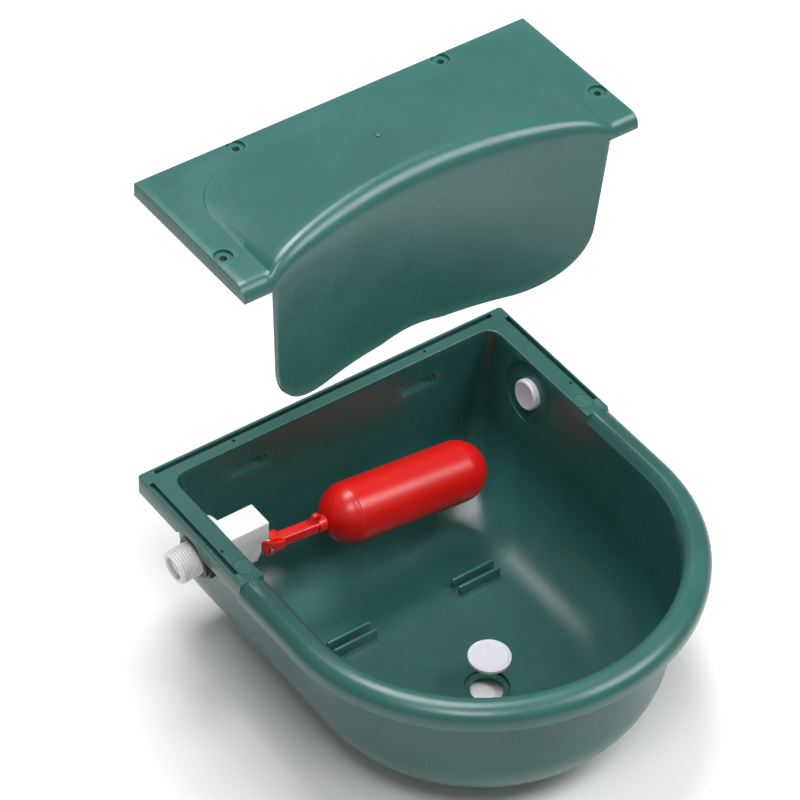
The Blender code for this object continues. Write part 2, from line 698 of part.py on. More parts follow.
def build_float(mat):
    """Hollow float in two mouldings, welded at a seam near the lever."""
    wall = 1.6
    neck = 3.3
    outer = [p for p in dome_points(FLOAT_START, FLOAT_RADIUS, 8, True) if p[0] > neck and p[1] < FLOAT_SEAM]
    edge = math.sqrt(FLOAT_RADIUS ** 2 - (FLOAT_START + FLOAT_RADIUS - FLOAT_SEAM) ** 2)
    inner = [p for p in dome_points(FLOAT_START + wall, FLOAT_RADIUS - wall, 5, True)
             if p[0] > neck + 2 and p[1] < FLOAT_SEAM]
    loop = [(neck, FLOAT_START + 0.3)] + outer + [(edge, FLOAT_SEAM), (edge - wall, FLOAT_SEAM)] + inner[::-1]
    loop += [(neck + 1.6, FLOAT_START + 3.0), (neck + 1.6, FLOAT_START + 9.0), (neck, FLOAT_START + 9.0)]
    cap = turned("float_cap", loop, mat, 26, closed=True)

    start = FLOAT_SEAM + GAP
    edge = math.sqrt(FLOAT_RADIUS ** 2 - (FLOAT_START + FLOAT_RADIUS - start) ** 2)
    far = dome_points(FLOAT_END, FLOAT_RADIUS, 7, False)
    far_in = dome_points(FLOAT_END - wall, FLOAT_RADIUS - wall, 5, False)
    outside = [(edge, start), (FLOAT_RADIUS, FLOAT_START + FLOAT_RADIUS)] + far[:0:-1]
    inside = far_in[1:] + [(FLOAT_RADIUS - wall, FLOAT_START + FLOAT_RADIUS), (edge - wall, start)]
    profile = [(0, FLOAT_END)] + outside[::-1] + inside[::-1] + [(0, FLOAT_END - wall)]
    shell = turned("float_shell", profile, mat, 26)
    for obj in (cap, shell):
        obj.rotation_euler = (0, math.pi / 2, 0)
    return cap, shell


def main():
    clear_scene()
    mats = {
        "green": material("green_plastic", (0.055, 0.16, 0.135), 0.38),
        "cover": material("cover_plastic", (0.055, 0.165, 0.14), 0.4),
        "white": material("white_plastic", (0.85, 0.85, 0.84), 0.35),
        "red": material("red_plastic", (0.62, 0.015, 0.01), 0.28),
        "clear": material("natural_plastic", (0.72, 0.72, 0.76), 0.3),
        "black": material("black_plastic", (0.012, 0.01, 0.01), 0.45),
        "rubber": material("rubber", (0.03, 0.03, 0.03), 0.7),
        "steel": material("steel", (0.6, 0.6, 0.6), 0.3, 1.0),
        "brass": material("brass", (0.7, 0.5, 0.2), 0.3, 1.0),
    }
    build_bowl(mats["green"])
    build_cover(mats["cover"])
    build_drain_plug(mats["clear"])
    build_side_plug(mats["clear"])
    build_valve_body(mats["white"])
    build_seat_nozzle(mats["brass"])
    build_inlet_strainer(mats["white"])
    build_ring("nozzle_o_ring", 3.9, 5.6, -7.3, -6.3, mats["rubber"])
    build_ring("flange_gasket", 10.9, 17.0, PAD_IN + GAP, FLANGE_FACE - GAP, mats["rubber"])
    outside = -(WALL + PAD_OUT + GAP)
    build_ring("outer_washer", 10.9, 18.0, outside - 2.5, outside, mats["black"])
    build_lock_nut(mats["black"])
    build_valve_moving(mats)


main()
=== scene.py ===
"""Looks of the float bowl: fine meshes and moulded-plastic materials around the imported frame.

The shapes repeat the CAD's rules with finer steps.  Lengths are millimetres; MM turns them into metres.
"""

import math

import bmesh
import bpy
from mathutils import Matrix, Vector


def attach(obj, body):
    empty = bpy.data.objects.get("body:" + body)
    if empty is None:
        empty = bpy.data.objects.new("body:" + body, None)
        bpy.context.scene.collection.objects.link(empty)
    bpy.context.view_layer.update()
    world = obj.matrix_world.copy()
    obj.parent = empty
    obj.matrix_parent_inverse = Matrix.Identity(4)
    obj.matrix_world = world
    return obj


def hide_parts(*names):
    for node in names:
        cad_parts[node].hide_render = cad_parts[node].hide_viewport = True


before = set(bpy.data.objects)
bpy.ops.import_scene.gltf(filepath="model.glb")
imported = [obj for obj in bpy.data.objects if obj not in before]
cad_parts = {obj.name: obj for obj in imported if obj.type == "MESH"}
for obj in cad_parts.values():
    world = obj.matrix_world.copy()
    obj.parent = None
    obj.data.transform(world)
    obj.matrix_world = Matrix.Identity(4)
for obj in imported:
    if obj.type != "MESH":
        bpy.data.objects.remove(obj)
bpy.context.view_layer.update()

MM = 0.001

# Bowl
SEAT_Z = 6.5
SEAT_HALF_IN = 114.5
SEAT_HALF_OUT = 130.0
SEAT_END_Y = 104.8
RIM_HALF_IN = 116.2
RIM_HALF_OUT = 131.4
RIM_STRAIGHT = 158.0
RIM_FRONT_IN = 264.8
RIM_FRONT_OUT = 281.0
BACK_IN = 12.0
WALL = 3.0
SIDE_DRAFT = 6.0
FILLET = 48.0
BACK_FILLET = 45.0
FLOOR_Z = SEAT_Z - 105.5
BASE_Z = SEAT_Z - 114.0
MID_HALF = 108.5
MID_FRONT = 264.0
FLANGE = 3.5
SKIRT = 12.8
SKIRT_WALL = 2.4
FOOT_HALF = 57.0
FOOT_WALL = 5.0
GROOVE_X = 127.0
GROOVE_Y = 3.5
GROOVE_WIDTH = 3.0
GROOVE_DEPTH = 3.2
SIDE_SCREW = (123.6, -77.0)
BACK_SCREW = (68.3, -7.0)
SLOT_X = 61.0
SLOT_Z = SEAT_Z - 19.5
SLOT_HALF = 12.8
SLOT_RADIUS = 4.4
PORT_Y = -53.0
PORT_Z = SEAT_Z - 22.0
PORT_X = SEAT_HALF_IN - (SEAT_Z - PORT_Z) * math.tan(math.radians(SIDE_DRAFT))
PORT_RADIUS = 10.9
PLUG_HOLE = 10.2
PAD_IN = -1.0
PAD_OUT = 0.6
PAD_RADIUS = 20.5
RELIEF_RADIUS = 17.0
DRAIN_Y = -168.5
DRAIN_LIFT = 26.0
BACK_RIB_X = 92.0
FLOOR_RIB_X = 45.3
FLOOR_RIB_YS = (-93.7, -100.6)
FLOOR_RIB_HALF = 15.2
EJECTOR_X = 120.3
EJECTOR_Y = -93.5
PILOT_RADIUS = 1.5

# Cover
COVER_LIFT = 210.2
COVER_HALF = 129.8
COVER_TOP = 9.2
COVER_BACK = 1.7
COVER_FRONT = 106.0
COVER_WALL = 2.5
COVER_Z = SEAT_Z + COVER_TOP + COVER_LIFT
APRON_HALF = 110.5
APRON_DROP = 112.2
APRON_CORNER = 45.5
PANEL_STEP = 0.8
PANEL_HALF = 112.0
PANEL_BACK = 17.5
PANEL_CORNER = 34.0
GATE_MARK = (-3.0, -47.0)
APRON_TOP_Y = 92.0
APRON_FOOT_Y = 80.0

# Float valve
PIVOT = Vector((-77.0, PORT_Y, SEAT_Z - 41.5))
DROOP = 7.0
FLOAT_RADIUS = 19.0
FLOAT_START = 41.5
FLOAT_END = 157.2
FLOAT_SEAM = 57.0
FLOAT_WALL = 1.6
PIN_HOLE = 1.85
JET_BORE = 3.9
HOOD_TOP = SEAT_Z - 13.5
THREAD_PITCH = 1.814
THREAD_TOP = 10.45
THREAD_ROOT = 9.35
NIPPLE_END = -28.8
FLANGE_FACE = PAD_IN + 2.6


# ---------------------------------------------------------------- mesh helpers

def new_object(name, points, faces):
    mesh = bpy.data.meshes.new(name)
    mesh.from_pydata([(x * MM, y * MM, z * MM) for x, y, z in points], [], faces)
    bm = bmesh.new()
    bm.from_mesh(mesh)
    bmesh.ops.remove_doubles(bm, verts=bm.verts, dist=2e-6)
    bmesh.ops.recalc_face_normals(bm, faces=bm.faces)
    bm.to_mesh(mesh)
    bm.free()
    obj = bpy.data.objects.new(name, mesh)
    bpy.context.scene.collection.objects.link(obj)
    return obj


def box(name, low, high):
    points = [(x, y, z) for x in (low[0], high[0]) for y in (low[1], high[1]) for z in (low[2], high[2])]
    faces = [(0, 1, 3, 2), (4, 6, 7, 5), (0, 4, 5, 1), (2, 3, 7, 6), (0, 2, 6, 4), (1, 5, 7, 3)]
    return new_object(name, points, faces)


def turned(name, profile, segments=64, closed=False):
    """Turn a profile of (radius, height) about Z.  A closed profile makes a ring with a hole."""
    rings = profile if closed else profile[1:-1]
    points = []
    for radius, height in rings:
        for k in range(segments):
            turn = 2 * math.pi * k / segments
            points.append((radius * math.cos(turn), radius * math.sin(turn), height))
    faces = []
    count = len(rings)
    for i in range(count if closed else count - 1):
        for k in range(segments):
            a = i * segments + k
            b = i * segments + (k + 1) % segments
            j = (i + 1) % count
            faces.append((a, b, j * segments + (k + 1) % segments, j * segments + k))
    if not closed:
        ends = ((profile[0][1], rings[0][1], 0), (profile[-1][1], rings[-1][1], count - 1))
        for height, near, start in ends:
            rim = [start * segments + k for k in range(segments)]
            if height == near:
                faces.append(tuple(rim))
                continue
            points.append((0, 0, height))
            faces += [(len(points) - 1, rim[k - 1], rim[k]) for k in range(segments)]
    return new_object(name, points, faces)


def rod(name, radius, low, high, segments=48):
    return turned(name, [(0, low), (radius, low), (radius, high), (0, high)], segments)


def extruded(name, outline, low, high):
    """Extrude an outline of (x, z) points from y = low to y = high."""
    count = len(outline)
    points = [(x, low, z) for x, z in outline] + [(x, high, z) for x, z in outline]
    faces = [tuple(range(count)), tuple(range(2 * count - 1, count - 1, -1))]
    faces += [(k, (k + 1) % count, count + (k + 1) % count, count + k) for k in range(count)]
    return new_object(name, points, faces)


def arc(center, radius, start, end, steps):
    points = []
    for k in range(steps + 1):
        turn = math.radians(start + (end - start) * k / steps)
        points.append((center[0] + radius * math.cos(turn), center[1] + radius * math.sin(turn)))
    return points


def rounded(profile, radius=0.4, steps=3):
    """Round every inner corner of an open (radius, height) profile."""
    result = [profile[0]]
    for before, here, after in zip(profile, profile[1:], profile[2:]):
        here, before, after = Vector(here), Vector(before), Vector(after)
        back, on = before - here, after - here
        reach = min(radius, 0.45 * back.length, 0.45 * on.length)
        start = here + back.normalized() * reach
        end = here + on.normalized() * reach
        for k in range(steps + 1):
            t = k / steps
            point = start * (1 - t) ** 2 + here * (2 * t * (1 - t)) + end * t ** 2
            result.append((point.x, point.y))
    result.append(profile[-1])
    return result


def rounded_ring(profile, radius=0.4, steps=3):
    """The same for a closed profile."""
    wrapped = [profile[-1]] + profile + [profile[0]]
    return rounded(wrapped, radius, steps)[1:-1]


def place(obj, point, rotation=(0, 0, 0)):
    """Put a piece in its place and move its mesh there, so that the object stays at the origin."""
    turn = Matrix.Rotation(math.radians(rotation[2]), 4, "Z")
    turn = turn @ Matrix.Rotation(math.radians(rotation[1]), 4, "Y")
    turn = turn @ Matrix.Rotation(math.radians(rotation[0]), 4, "X")
    obj.data.transform(Matrix.Translation(Vector(point) * MM) @ turn)
    return obj


def bake_modifiers(obj):
    graph = bpy.context.evaluated_depsgraph_get()
    graph.update()
    mesh = bpy.data.meshes.new_from_object(obj.evaluated_get(graph))
    obj.modifiers.clear()
    obj.data = mesh
    return obj


def combine(obj, others, operation, solver):
    """Boolean with each of the others in turn, which are used up."""
    for other in others:
        mod = obj.modifiers.new("combine", "BOOLEAN")
        mod.operation = operation
        mod.solver = solver
        mod.object = other
        bake_modifiers(obj)
        bpy.data.objects.remove(other)
    return obj


def add(obj, others, solver="EXACT"):
    return combine(obj, others, "UNION", solver)


def cut(obj, others, solver="EXACT"):
    return combine(obj, others, "DIFFERENCE", solver)


def soften(obj, width, segments=2, angle=35):
    mod = obj.modifiers.new("soften", "BEVEL")
    mod.width = width * MM
    mod.segments = segments
    mod.limit_method = "ANGLE"
    mod.angle_limit = math.radians(angle)
    return bake_modifiers(obj)


def smooth(obj, angle=32):
    obj.data.shade_smooth()
    obj.data.set_sharp_from_angle(angle=math.radians(angle))
    return obj


# ---------------------------------------------------------------- materials

class Nodes:
    """Small helper that adds shader nodes and links them."""

    def __init__(self, mat):
        mat.use_nodes = True
        self.tree = mat.node_tree
        self.shader = self.tree.nodes["Principled BSDF"]

    def add(self, kind, **values):
        node = self.tree.nodes.new(kind)
        for key, value in values.items():
            if hasattr(node, key):
                setattr(node, key, value)
            else:
                node.inputs[key.replace("_", " ")].default_value = value
        return node

    def link(self, start, end):
        self.tree.links.new(start, end)

    def noise(self, scale, detail=3.0, roughness=0.55, stretch=(1, 1, 1)):
        coords = self.add("ShaderNodeTexCoord")
        mapping = self.add("ShaderNodeMapping")
        mapping.inputs["Scale"].default_value = stretch
        noise = self.add("ShaderNodeTexNoise", Scale=scale, Detail=detail, Roughness=roughness)
        self.link(coords.outputs["Object"], mapping.inputs["Vector"])
        self.link(mapping.outputs["Vector"], noise.inputs["Vector"])
        return noise.outputs["Fac"]

    def ramp(self, source, low, high, start, end):
        node = self.add("ShaderNodeMapRange")
        node.inputs["From Min"].default_value = low
        node.inputs["From Max"].default_value = high
        node.inputs["To Min"].default_value = start
        node.inputs["To Max"].default_value = end
        self.link(source, node.inputs["Value"])
        return node.outputs["Result"]

    def mix(self, factor, first, second):
        node = self.add("ShaderNodeMix")
        node.data_type = "RGBA"
        colors = [s for s in node.inputs if s.type == "RGBA"]
        for socket, value in zip(colors, (first, second)):
            if isinstance(value, tuple):
                socket.default_value = (*value, 1.0)
            else:
                self.link(value, socket)
        self.link(factor, node.inputs["Factor"])
        return [s for s in node.outputs if s.type == "RGBA"][0]


def moulded(name, color, highlight_and_scuff, dark, roughness, grain=0.12, subsurface=0.0, specular=0.5):
    """Moulded plastic: faint flow mottling, fine grain, a painted highlight on convex edges, paler scuff
    streaks and duller handled patches.
    """
    mat = bpy.data.materials.new(name)
    nodes = Nodes(mat)
    mottle = nodes.ramp(nodes.noise(22.0, 4.0), 0.35, 0.65, 0.0, 1.0)
    base = nodes.mix(mottle, dark, color)
    geometry = nodes.add("ShaderNodeNewGeometry")
    # Painted highlight: convex edges, found by pointiness, are mixed towards the paler colour as if lit.
    edge = nodes.ramp(geometry.outputs["Pointiness"], 0.515, 0.60, 0.0, 0.55)
    with_edge_highlight = nodes.mix(edge, base, highlight_and_scuff)
    # Scuff streaks are real wear and use the same paler colour.
    scuff = nodes.ramp(nodes.noise(160.0, 6.0, 0.7, (1, 4, 1)), 0.62, 0.80, 0.0, 0.2)
    nodes.link(nodes.mix(scuff, with_edge_highlight, highlight_and_scuff), nodes.shader.inputs["Base Color"])
    handled = nodes.noise(35.0, 5.0, 0.6)
    gloss = nodes.ramp(handled, 0.3, 0.7, roughness - 0.03, roughness + 0.06)
    nodes.link(gloss, nodes.shader.inputs["Roughness"])
    bump = nodes.add("ShaderNodeBump", Strength=grain, Distance=0.0004)
    nodes.link(nodes.noise(1500.0, 2.0), bump.inputs["Height"])
    nodes.link(bump.outputs["Normal"], nodes.shader.inputs["Normal"])
    nodes.shader.inputs["Subsurface Weight"].default_value = subsurface
    nodes.shader.inputs["Subsurface Radius"].default_value = (0.004, 0.003, 0.003)
    nodes.shader.inputs["Specular IOR Level"].default_value = specular
    return mat


def metal(name, color, roughness):
    mat = bpy.data.materials.new(name)
    nodes = Nodes(mat)
    nodes.shader.inputs["Metallic"].default_value = 1.0
    dark = tuple(0.8 * part for part in color)
    turned_marks = nodes.noise(900.0, 4.0, 0.6, (1, 12, 1))
    nodes.link(nodes.mix(turned_marks, dark, color), nodes.shader.inputs["Base Color"])
    gloss = nodes.ramp(turned_marks, 0.3, 0.7, roughness, roughness + 0.15)
    nodes.link(gloss, nodes.shader.inputs["Roughness"])
    return mat


def finish_piece(obj, mat, body, nodes):
    obj.data.materials.clear()
    obj.data.materials.append(mat)
    smooth(obj)
    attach(obj, body)
    if nodes:
        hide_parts(*nodes)
    return obj


# ---------------------------------------------------------------- bowl

BACK_SHARES = (0.0, 0.2, 0.4, 0.6, 0.8)
SIDE_SHARES = (0.25, 0.5, 0.75, 1.0)
FRONT_STATIONS = (SEAT_END_Y + 0.2, 118.0, 131.0, 144.0, RIM_STRAIGHT)
CORNER_STEPS = 8
FRONT_STEPS = 44


def fillet_offset(z, radius, floor):
    drop = max(0.0, floor + radius - z)
    return radius - math.sqrt(max(0.0, radius * radius - drop * drop))


def wall_sizes(z, skin):
    floor = FLOOR_Z - skin * 1.2
    mid = FLOOR_Z + FILLET
    rise = max(0.0, z - mid) / (SEAT_Z - mid)
    pull = fillet_offset(z, FILLET + skin, floor)
    half = MID_HALF + (SEAT_HALF_IN - MID_HALF) * rise + skin - pull
    front = MID_FRONT + (RIM_FRONT_IN - MID_FRONT) * rise + skin - pull
    back = BACK_IN + 0.03 * (SEAT_Z - z) - skin + fillet_offset(z, BACK_FILLET + skin, floor)
    return half, front, back, 9.0 + 0.4 * pull


def d_outline(half, front, back, corner, rim_half=None):
    points = [((half - corner) * share, -back) for share in BACK_SHARES]
    points += arc((half - corner, -(back + corner)), corner, 90, 0, CORNER_STEPS)
    start = back + corner
    for share in SIDE_SHARES:
        points.append((half, -(start + (SEAT_END_Y - 0.2 - start) * share)))
    wide = rim_half or half
    points += [(wide, -station) for station in FRONT_STATIONS]
    for k in range(1, FRONT_STEPS + 1):
        turn = math.pi / 2 * k / FRONT_STEPS
        points.append((wide * math.cos(turn), -RIM_STRAIGHT - (front - RIM_STRAIGHT) * math.sin(turn)))
    return points


def full_ring(half_points, heights):
    right = [(x, y, z) for (x, y), z in zip(half_points, heights)]
    left = [(-x, y, z) for x, y, z in right[1:-1]]
    return right + left[::-1]


def on_seat(index):
    return index < len(BACK_SHARES) + CORNER_STEPS + 1 + len(SIDE_SHARES)


def crown_height(t):
    if t < 0.3:
        return -2.5 * (1 - t / 0.3) ** 2
    u = (t - 0.3) / 0.7
    return -8.0 * (1 - math.sqrt(max(0.0, 1 - u * u)))


def seat_height(t):
    edge = min(t, 1 - t) / 0.04
    return -0.6 * (1 - edge) ** 2 if edge < 1 else 0.0


def rim_ring(t):
    half = SEAT_HALF_IN + t * (SEAT_HALF_OUT - SEAT_HALF_IN)
    rim_half = RIM_HALF_IN + t * (RIM_HALF_OUT - RIM_HALF_IN)
    front = RIM_FRONT_IN + t * (RIM_FRONT_OUT - RIM_FRONT_IN)
    outline = d_outline(half, front, BACK_IN * (1 - t), 9.0 - 7.0 * t, rim_half)
    heights = [SEAT_Z + (seat_height(t) if on_seat(i) else crown_height(t)) for i in range(len(outline))]
    return full_ring(outline, heights)


def wall_ring(z, skin):
    outline = d_outline(*wall_sizes(z, skin))
    return full_ring(outline, [z] * len(outline))


def skirt_ring(inset, z):
    corner = 2.0 + inset * 0.2
    outline = d_outline(SEAT_HALF_OUT - inset, RIM_FRONT_OUT - inset, inset, corner, RIM_HALF_OUT - inset)
    return full_ring(outline, [z] * len(outline))


def loft(name, rings, close_ends=True):
    count = len(rings[0])
    points = [point for ring in rings for point in ring]
    faces = []
    for i in range(len(rings) - 1):
        for k in range(count):
            a = i * count + k
            b = i * count + (k + 1) % count
            faces.append((a, b, b + count, a + count))
    if close_ends:
        faces.append(tuple(range(count)))
        last = (len(rings) - 1) * count
        faces.append(tuple(range(last + count - 1, last - 1, -1)))
    else:
        for k in range(count):
            a = (len(rings) - 1) * count + k
            b = (len(rings) - 1) * count + (k + 1) % count
            faces.append((a, b, (k + 1) % count, k))
    return new_object(name, points, faces)


def fillet_levels(radius, floor, steps):
    return [floor + radius * (1 - math.sin(math.pi / 2 * (1 - k / steps))) for k in range(steps + 1)]


def between(low, high, steps):
    return [low + (high - low) * k / steps for k in range(1, steps)]


def bowl_shell():
    outside_floor = FLOOR_Z - WALL * 1.2
    mid = FLOOR_Z + FILLET
    bottom = SEAT_Z - SKIRT
    rings = [wall_ring(z, WALL) for z in fillet_levels(FILLET + WALL, outside_floor, 16)]
    rings += [wall_ring(z, WALL) for z in between(mid, SEAT_Z - FLANGE, 4)]
    rings.append(wall_ring(SEAT_Z - FLANGE, WALL))
    for inset, z in ((SKIRT_WALL, SEAT_Z - FLANGE), (SKIRT_WALL, bottom + 0.6), (SKIRT_WALL - 0.6, bottom),
                     (0.7, bottom), (0.2, bottom + 0.25), (0.0, bottom + 0.8)):
        rings.append(skirt_ring(inset, z))
    ts = [1.0, 0.997, 0.985, 0.97, 0.95, 0.92, 0.88, 0.83, 0.77, 0.7, 0.6, 0.5, 0.4, 0.3, 0.22, 0.15, 0.08]
    ts += [0.04, 0.02, 0.008, 0.0]
    rings += [rim_ring(t) for t in ts]
    rings += [wall_ring(z, 0.0) for z in (SEAT_Z - 5.0, SEAT_Z - 14.0, SEAT_Z - 29.0, SEAT_Z - 43.0)]
    rings += [wall_ring(z, 0.0) for z in reversed(fillet_levels(FILLET, FLOOR_Z, 16))]
    return loft("bowl_body", rings)


def foot_ring():
    def ring(half, z):
        inset = FOOT_HALF - half
        outline = d_outline(half, 212.0 - inset, 66.0 + inset, 12.0)
        return full_ring(outline, [z] * len(outline))
    top = FLOOR_Z - 2.0
    inner = FOOT_HALF - FOOT_WALL
    rings = [ring(FOOT_HALF - 0.5, BASE_Z), ring(FOOT_HALF, BASE_Z + 0.5), ring(FOOT_HALF, top)]
    rings += [ring(inner, top), ring(inner, BASE_Z + 0.5), ring(inner + 0.5, BASE_Z)]
    return loft("foot", rings, close_ends=False)


def slot_outline(grow):
    right = arc((SLOT_HALF - SLOT_RADIUS, 0), SLOT_RADIUS + grow, 90, -90, 20)
    return right + [(-x, -z) for x, z in right]


def port_turn(side):
    return (0, -side * (90 - SIDE_DRAFT), 0)


def bowl_additions():
    pieces = [foot_ring()]
    for side in (-1, 1):
        pieces.append(place(extruded("boss", slot_outline(4.0), -10.5, 0.0), (side * SLOT_X, 0, SLOT_Z)))
        low = (side * BACK_RIB_X - 2.0, -11.5, SEAT_Z - 50.0)
        pieces.append(box("rib", low, (side * BACK_RIB_X + 2.0, 0.0, SEAT_Z - 4.0)))
        for y in FLOOR_RIB_YS:
            low = (side * FLOOR_RIB_X - FLOOR_RIB_HALF, y - 0.9, FLOOR_Z - 1.0)
            high = (side * FLOOR_RIB_X + FLOOR_RIB_HALF, y + 0.9, FLOOR_Z + 7.0)
            pieces.append(soften(box("rib", low, high), 0.5))
        pad = rod("pad", PAD_RADIUS + 1.5, -WALL - PAD_OUT, PAD_IN - 0.4, 64)
        pieces.append(place(pad, (side * PORT_X, PORT_Y, PORT_Z), port_turn(side)))
    return pieces


def bowl_cuts():
    cuts = []
    for side in (-1, 1):
        middle = (side * (RIM_HALF_OUT - 2), PORT_Y, PORT_Z - 1.5)
        cuts.append(place(rod("relief", RELIEF_RADIUS, -8, 8, 64), middle, (0, 90, 0)))
        cuts.append(place(extruded("slot", slot_outline(0.0), -25.0, 5.0), (side * SLOT_X, 0, SLOT_Z)))
        low = (side * GROOVE_X - GROOVE_WIDTH / 2, -96.0, SEAT_Z - GROOVE_DEPTH)
        cuts.append(box("groove", low, (side * GROOVE_X + GROOVE_WIDTH / 2, -10.0, SEAT_Z + 2.0)))
        for x, y in (SIDE_SCREW, BACK_SCREW):
            pilot = rod("pilot", PILOT_RADIUS, -4.0, 2.0, 3)
            cuts.append(place(pilot, (side * x, y, SEAT_Z), (0, 0, 90)))
        ejector = turned("ejector", [(5.8, -0.25), (6.2, -0.25), (6.2, 1.0), (5.8, 1.0)], 48, closed=True)
        cuts.append(place(ejector, (side * EJECTOR_X, EJECTOR_Y, SEAT_Z)))
    low = (-120.5, -GROOVE_Y - GROOVE_WIDTH / 2, SEAT_Z - GROOVE_DEPTH)
    cuts.append(box("groove", low, (120.5, -GROOVE_Y + GROOVE_WIDTH / 2, SEAT_Z + 2.0)))
    floor = FLOOR_Z
    profile = [(0, floor + 5), (14.6, floor + 5), (13.6, floor + 0.1), (13.4, floor - 2.0)]
    profile += [(10.3, floor - 2.0), (10.0, floor - 2.3), (10.0, floor - 20), (0, floor - 20)]
    cuts.append(place(turned("drain", profile, 64), (0, DRAIN_Y, 0)))
    for side, radius in ((-1, PORT_RADIUS), (1, PLUG_HOLE)):
        profile = [(0, 5), (PAD_RADIUS + 1.2, 5), (PAD_RADIUS, PAD_IN)]
        profile += [(radius, PAD_IN), (radius, -12), (0, -12)]
        cuts.append(place(turned("hole", profile, 64), (side * PORT_X, PORT_Y, PORT_Z), port_turn(side)))
    return cuts


def build_bowl(mat):
    bowl = cut(add(bowl_shell(), bowl_additions()), bowl_cuts())
    return finish_piece(bowl, mat, "bowl", ["bowl"])


# ---------------------------------------------------------------- cover

def crease_y(x):
    over = max(0.0, abs(x) - (PANEL_HALF - PANEL_CORNER)) / PANEL_CORNER
    return PANEL_BACK + PANEL_CORNER * (1 - math.sqrt(max(0.0, 1 - min(1.0, over) ** 2)))


def panel_rise(x):
    u = min(1.0, abs(x) / PANEL_HALF)
    return 5.0 * (1 - u ** 12) + 10.0 * (1 - u ** 2)


def apron_y(x, depth):
    u = min(1.0, abs(x) / APRON_HALF)
    top = APRON_TOP_Y + (COVER_FRONT - APRON_TOP_Y) * u * u
    bottom = APRON_FOOT_Y + (COVER_FRONT - APRON_FOOT_Y) * u * u
    return top + (bottom - top) * min(1.0, max(0.0, depth) / APRON_DROP)


def front_radius(x):
    u = min(1.0, abs(x) / APRON_HALF)
    return 12.0 - 4.0 * u * u


def apron_foot(u):
    straight = 61.0
    split = straight / APRON_HALF
    side = abs(u)
    if side <= split:
        x = straight * side / split
        arch = 3.0 * math.cos(math.pi * x / 42.0) if x < 21.0 else 0.0
        return math.copysign(x, u), APRON_DROP - arch
    turn = math.radians(84.0) * (side - split) / (1 - split)
    x = straight + APRON_CORNER * math.sin(turn)
    return math.copysign(x, u), APRON_DROP - APRON_CORNER * (1 - math.cos(turn))


def rolled_edge(line, inwards):
    """The cover's square edge with a small round, from its foot to its top."""
    return ((line, -COVER_TOP), (line, -1.2), (line + inwards * 0.35, -0.35), (line + inwards * 1.2, 0.0))


BACK_EDGE = rolled_edge(COVER_BACK, 1)
SIDE_EDGE = rolled_edge(COVER_HALF, -1)


def cover_column(x, side_drop, on_apron):
    rise = panel_rise(x) if on_apron else 0.0
    start = crease_y(x)
    radius = front_radius(x)
    end = apron_y(x, 0.0) - radius
    points = [(x, -y, z) for y, z in BACK_EDGE]
    first = BACK_EDGE[-1][0]
    points += [(x, -(first + (start - first) * t), 0.0) for t in (0.33, 0.66, 1.0)]
    step = min(PANEL_STEP, rise)
    foot = start + 0.9
    points.append((x, -foot, step))
    for k in range(1, 15):
        t = k / 14
        points.append((x, -(foot + (end - foot) * t), step + (rise - step) * (0.5 * t + 0.5 * t * t)))
    for k in range(1, 13):
        turn = math.pi / 2 * k / 12
        points.append((x, -(end + radius * math.sin(turn)), rise - radius * (1 - math.cos(turn))))
    points.append((x, -apron_y(x, COVER_TOP), -COVER_TOP))
    return [(px, py, min(pz, side_drop)) for px, py, pz in points]


def apron_tail(u):
    x_top = u * APRON_HALF
    x_foot, depth_foot = apron_foot(u)
    points = []
    for k in range(1, 15):
        t = k / 14
        depth = COVER_TOP + (depth_foot - COVER_TOP) * t
        x = x_top + (x_foot - x_top) * t
        points.append((x, -apron_y(x, depth), -depth))
    return points


def cover_sheet():
    steps = 80
    sides = list(SIDE_EDGE) + [(124.0, 0.0), (119.0, 0.0), (114.5, 0.0), (112.0, 0.0)]
    columns = [cover_column(-x, drop, False) for x, drop in sides]
    for k in range(steps + 1):
        u = -1 + 2 * k / steps
        columns.append(cover_column(u * APRON_HALF, 0.0 if abs(u) == 1 else 99.0, True) + apron_tail(u))
    columns += [cover_column(x, drop, False) for x, drop in reversed(sides)]
    starts, points, faces = [], [], []
    for column in columns:
        starts.append(len(points))
        points += column
    for left, right, a, b in zip(columns, columns[1:], starts, starts[1:]):
        for row in range(min(len(left), len(right)) - 1):
            faces.append((a + row, a + row + 1, b + row + 1, b + row))
    cover = new_object("cover_body", points, faces)
    bm = bmesh.new()
    bm.from_mesh(cover.data)
    bmesh.ops.dissolve_degenerate(bm, dist=2e-6, edges=bm.edges)
    bm.to_mesh(cover.data)
    bm.free()
    top = max(cover.data.polygons, key=lambda p: p.center.z)
    if top.normal.z < 0:
        cover.data.flip_normals()
    solid = cover.modifiers.new("thickness", "SOLIDIFY")
    solid.thickness = COVER_WALL * MM
    solid.offset = -1.0
    solid.use_even_offset = True
    return bake_modifiers(cover)


